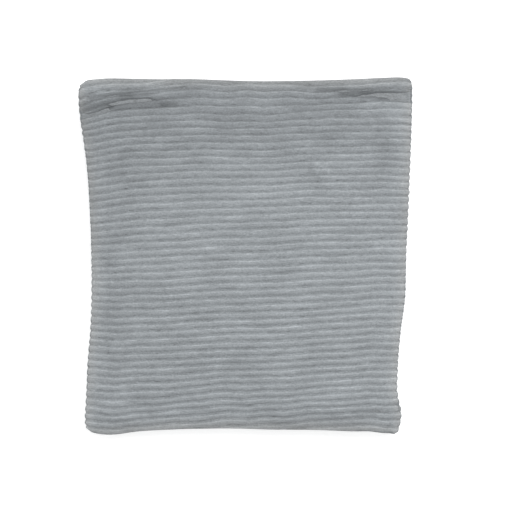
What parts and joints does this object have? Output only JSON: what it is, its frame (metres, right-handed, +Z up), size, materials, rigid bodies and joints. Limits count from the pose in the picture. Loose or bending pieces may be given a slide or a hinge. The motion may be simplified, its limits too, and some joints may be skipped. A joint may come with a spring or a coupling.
{
  "type": "throw cushion",
  "caption": "Soft square throw cushion with a removable ribbed-velour cover, closed by a concealed zip along one edge, over a fibre-filled insert.",
  "frame": {"origin": "centre of the underside, on the surface that the cushion lies on", "axes": "+X along the ribs, towards the closed end of the zip; +Y across the ribs, from the zip edge to the head edge; +Z up through the thickness, out of the front panel"},
  "size_m": [0.4507, 0.4833, 0.096],
  "materials": {
    "velour": "soft ribbed pile, satin sheen",
    "casing": "plain weave",
    "filling": "loose polyester fibre",
    "label": "smooth satin",
    "zip_tape": "fine twill",
    "zip_coil": "semi-matt nylon",
    "thread": "matt thread",
    "zip_metal": "satin nickel"
  },
  "bodies": {
    "cushion": {"cover_front": "velour", "cover_back": "velour", "seam_left": "velour", "seam_right": "velour", "seam_head": "velour", "seam_zip_edge_left": "velour", "seam_zip_edge_right": "velour", "care_label": "label", "zip_tape_front": "zip_tape", "zip_tape_back": "zip_tape", "zip_coil_front": "zip_coil", "zip_coil_back": "zip_coil", "zip_top_stop_front": "zip_metal", "zip_top_stop_back": "zip_metal", "zip_bottom_stop": "zip_metal", "zip_bar_tack_left": "thread", "zip_bar_tack_right": "thread", "insert_front": "casing", "insert_back": "casing", "insert_seam": "casing", "insert_filling": "filling"},
    "slider": {"zip_slider": "zip_metal"},
    "pull_tab": {"zip_pull_tab": "zip_metal"}
  },
  "joints": [
    {"name": "zip_slide", "type": "slide", "parent": "cushion", "child": "slider", "axis": [-1, 0, 0], "range_m": [0, 0.34]},
    {"name": "pull_tab_swing", "type": "hinge", "parent": "slider", "child": "pull_tab", "pos_m": [0.167, -0.2336, 0.034], "axis": [0, 0, 1], "range_deg": [0, 180]}
  ]
}
